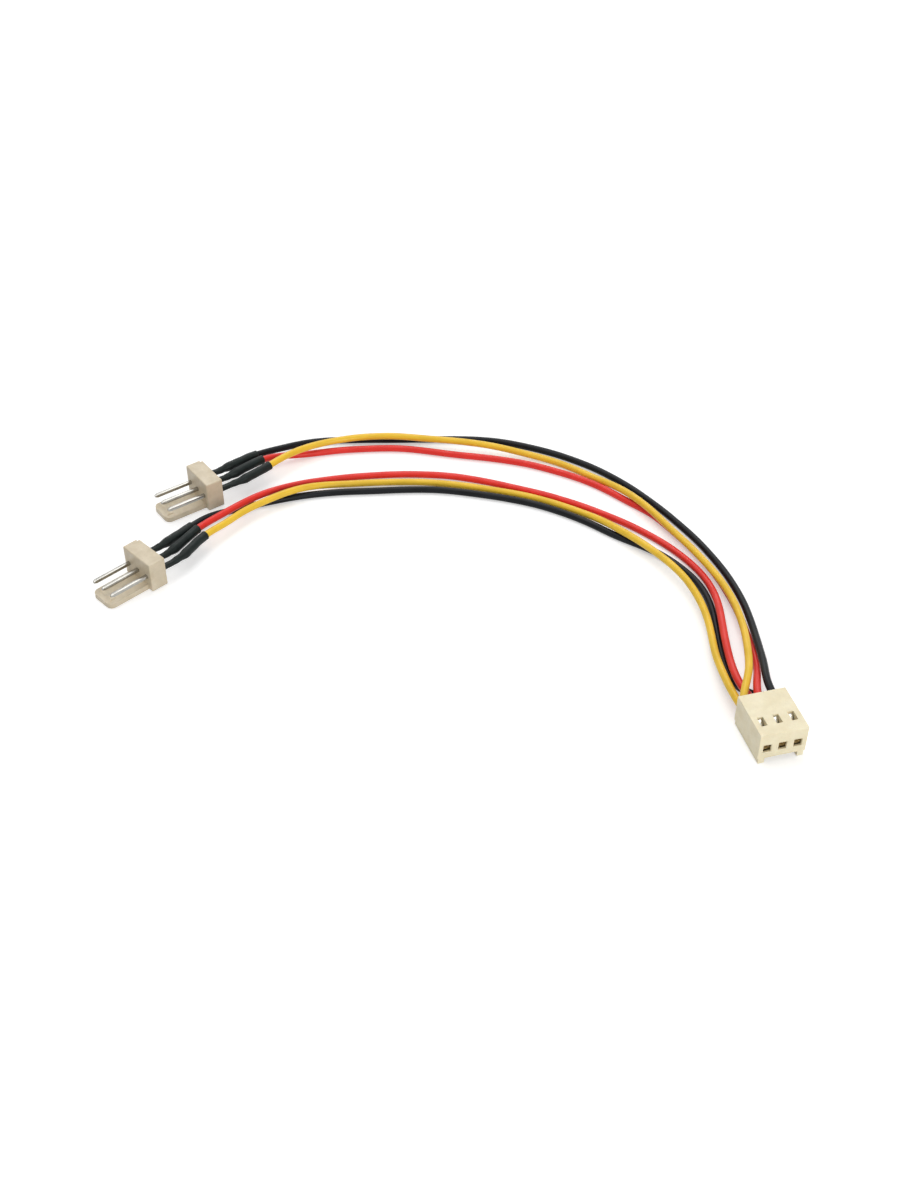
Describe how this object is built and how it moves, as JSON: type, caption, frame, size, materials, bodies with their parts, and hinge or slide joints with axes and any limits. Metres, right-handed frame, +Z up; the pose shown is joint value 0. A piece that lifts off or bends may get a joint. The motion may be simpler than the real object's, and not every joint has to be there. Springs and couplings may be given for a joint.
{
  "type": "fan splitter cable",
  "caption": "Splitter lead for cooling fans: a cream crimp socket feeding pin headers over loose black, red and yellow wires, with shrunk black sleeves over the joints.",
  "frame": {"origin": "on the table under the middle of the box round the socket and the headers, without the wires", "axes": "+X along the lead, from the headers to the socket; +Y across it, towards the side where the wires bow out; +Z up from the table"},
  "size_m": [0.1163, 0.0861, 0.0061],
  "materials": {
    "cream_socket": "moulded nylon, satin, warm cream",
    "cream_header": "moulded nylon, satin, darker cream",
    "tinned_pin": "bright tin plate",
    "tinned_contact": "formed bronze strip with a thin tin plate",
    "solder": "dull solder over bare strands",
    "black_sleeve": "shrunk tubing, satin, nearly black",
    "black_wire": "extruded insulation, soft gloss",
    "red_wire": "extruded insulation, soft gloss",
    "yellow_wire": "extruded insulation, soft gloss"
  },
  "bodies": {
    "root": {"socket_housing": "cream_socket", "socket_contact_black": "tinned_contact", "socket_contact_red": "tinned_contact", "socket_contact_yellow": "tinned_contact", "header_housing_a": "cream_header", "header_housing_b": "cream_header", "header_pin_a_black": "tinned_pin", "header_pin_a_red": "tinned_pin", "header_pin_a_yellow": "tinned_pin", "header_pin_b_black": "tinned_pin", "header_pin_b_red": "tinned_pin", "header_pin_b_yellow": "tinned_pin", "heat_shrink_a_black": "black_sleeve", "heat_shrink_a_red": "black_sleeve", "heat_shrink_a_yellow": "black_sleeve", "heat_shrink_b_black": "black_sleeve", "heat_shrink_b_red": "black_sleeve", "heat_shrink_b_yellow": "black_sleeve", "solder_joint_a_black": "solder", "solder_joint_a_red": "solder", "solder_joint_a_yellow": "solder", "solder_joint_b_black": "solder", "solder_joint_b_red": "solder", "solder_joint_b_yellow": "solder", "wire_a_black": "black_wire", "wire_a_red": "red_wire", "wire_a_yellow": "yellow_wire", "wire_b_black": "black_wire", "wire_b_red": "red_wire", "wire_b_yellow": "yellow_wire"}
  },
  "joints": []
}
